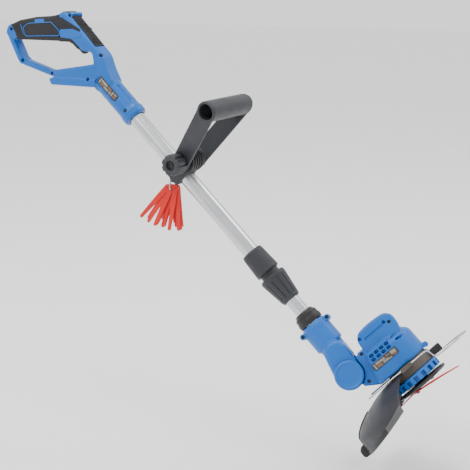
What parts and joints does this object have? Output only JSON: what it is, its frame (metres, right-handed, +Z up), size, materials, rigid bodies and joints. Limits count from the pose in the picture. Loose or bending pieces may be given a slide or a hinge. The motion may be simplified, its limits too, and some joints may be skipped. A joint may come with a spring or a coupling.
{
  "type": "lawn edger",
  "caption": "Cordless telescopic grass trimmer with a loop handle, sliding D handle, tilting motor head, rear guard, sliding plant guard wire and swinging plastic blades.",
  "frame": {"origin": "middle of the rear grip, on the tool's centre plane", "axes": "+X forwards from the grip to the cutting head, +Y to the left, square to the flat centre plane, +Z up; the shaft slopes 42.5 degrees down"},
  "size_m": [0.8626, 0.1976, 0.691],
  "materials": {
    "blue_shell": "satin gloss blue ABS",
    "black_overmould": "soft matt overmould",
    "black_plastic": "fine texture",
    "grey_plastic": "fine texture",
    "tube_aluminium": "satin anodised",
    "bright_steel": "bright",
    "dark_steel": "blackened",
    "red_plastic": "satin red",
    "label_film": "printed film"
  },
  "bodies": {
    "handle": {"handle_shell_right": "blue_shell", "handle_shell_left": "blue_shell", "grip_cover_right": "black_overmould", "grip_cover_left": "black_overmould", "nose_cover": "black_overmould", "trigger_pin": "bright_steel", "trigger_spring": "bright_steel", "main_switch": "black_plastic", "battery_terminal_block": "black_plastic", "handle_label": "label_film", "handle_screw_rear_top": "dark_steel", "handle_screw_rear_bottom": "dark_steel", "handle_screw_loop_front": "dark_steel", "handle_screw_nose_front": "dark_steel", "handle_screw_battery": "dark_steel", "handle_screw_collar": "dark_steel", "upper_tube": "tube_aluminium", "telescope_collar": "grey_plastic", "lock_collet": "black_plastic"},
    "trigger_lever": {"trigger": "black_plastic"},
    "lock_off": {"lock_off_button": "red_plastic"},
    "twist_lock": {"twist_lock_nut": "grey_plastic"},
    "lower_shaft": {"lower_tube": "tube_aluminium", "coiled_lead": "black_plastic"},
    "release": {"release_sleeve": "black_plastic"},
    "clamp": {"aux_clamp": "grey_plastic", "rosette_right": "black_plastic", "rosette_left": "black_plastic", "clamp_bolt": "dark_steel"},
    "front_handle": {"d_handle": "grey_plastic"},
    "knob": {"clamp_knob": "grey_plastic"},
    "spares": {"spare_blade_ring": "bright_steel", "spare_blade_1": "red_plastic", "spare_blade_2": "red_plastic", "spare_blade_3": "red_plastic", "spare_blade_4": "red_plastic"},
    "neck": {"neck_shell_right": "blue_shell", "neck_shell_left": "blue_shell", "neck_screw_upper": "dark_steel", "neck_screw_lower": "dark_steel", "tilt_pivot_pin": "bright_steel"},
    "tilt_release": {"tilt_button": "blue_shell"},
    "head": {"motor_housing_right": "blue_shell", "motor_housing_left": "blue_shell", "motor_can": "bright_steel", "housing_label": "label_film", "housing_screw_top": "dark_steel", "housing_screw_pivot": "dark_steel", "housing_screw_front": "dark_steel", "guard_collar": "grey_plastic", "air_outlet_ring": "blue_shell", "lower_bearing": "bright_steel", "cutting_guard": "grey_plastic"},
    "plant_guard": {"plant_guard_wire": "bright_steel"},
    "rotor": {"motor_shaft": "bright_steel", "cooling_fan": "black_plastic", "cutter_disc": "black_plastic"},
    "blade_a": {"cutting_blade_1": "red_plastic"},
    "blade_b": {"cutting_blade_2": "red_plastic"}
  },
  "joints": [
    {"name": "trigger_squeeze", "type": "hinge", "parent": "handle", "child": "trigger_lever", "pos_m": [0.066, 0, -0.008], "axis": [0, -1, 0], "range_deg": [0, 8], "stiffness_Nm_per_rad": 0.6, "deforming": ["trigger_spring"]},
    {"name": "lock_off_press", "type": "slide", "parent": "handle", "child": "lock_off", "axis": [0, -1, 0], "range_m": [0, 0.0035], "stiffness_N_per_m": 600},
    {"name": "twist_lock_turn", "type": "hinge", "parent": "handle", "child": "twist_lock", "pos_m": [0.4882, 0, -0.4101], "axis": [0.7373, 0, -0.6756], "range_deg": [0, 90]},
    {"name": "telescope_slide", "type": "slide", "parent": "handle", "child": "lower_shaft", "axis": [0.7373, 0, -0.6756], "range_m": [0, 0.22]},
    {"name": "release_sleeve_slide", "type": "slide", "parent": "lower_shaft", "child": "release", "axis": [-0.7373, 0, 0.6756], "range_m": [0, 0.008], "stiffness_N_per_m": 400},
    {"name": "head_rotation", "type": "hinge", "parent": "lower_shaft", "child": "neck", "pos_m": [0.56267, 0, -0.47834], "axis": [0.7373, 0, -0.6756], "range_deg": [0, 180]},
    {"name": "head_tilt", "type": "hinge", "parent": "neck", "child": "head", "pos_m": [0.61731, -0.003, -0.53638], "axis": [-0.3067, 0.891, -0.3347], "range_deg": [0, 90]},
    {"name": "tilt_button_press", "type": "slide", "parent": "neck", "child": "tilt_release", "axis": [-0.3067, 0.891, -0.3347], "range_m": [0, 0.0032], "stiffness_N_per_m": 600},
    {"name": "plant_guard_slide", "type": "slide", "parent": "head", "child": "plant_guard", "axis": [0.602, 0.454, 0.6569], "range_m": [0, 0.03]},
    {"name": "rotor_spin", "type": "hinge", "parent": "head", "child": "rotor", "pos_m": [0.72665, 0.0336, -0.53917], "axis": [0.7373, 0, -0.6756], "continuous": true},
    {"name": "blade_a_swing", "type": "hinge", "parent": "rotor", "child": "blade_a", "pos_m": [0.73096, -0.0004, -0.54232], "axis": [0.7373, 0, -0.6756], "range_deg": [-30, 140]},
    {"name": "blade_b_swing", "type": "hinge", "parent": "rotor", "child": "blade_b", "pos_m": [0.73016, 0.06759, -0.54319], "axis": [0.7373, 0, -0.6756], "range_deg": [-30, 140]},
    {"name": "clamp_slide", "type": "slide", "parent": "handle", "child": "clamp", "axis": [0.7373, 0, -0.6756], "range_m": [-0.06, 0.14]},
    {"name": "front_handle_tilt", "type": "hinge", "parent": "clamp", "child": "front_handle", "pos_m": [0.30793, 0, -0.21237], "axis": [0, 1, 0], "range_deg": [-50, 50]},
    {"name": "knob_turn", "type": "hinge", "parent": "clamp", "child": "knob", "pos_m": [0.30793, -0.045, -0.21237], "axis": [0, 1, 0], "continuous": true},
    {"name": "spare_blades_swing", "type": "hinge", "parent": "clamp", "child": "spares", "pos_m": [0.27762, 0, -0.24766], "axis": [0, 1, 0], "range_deg": [-25, 25]}
  ]
}
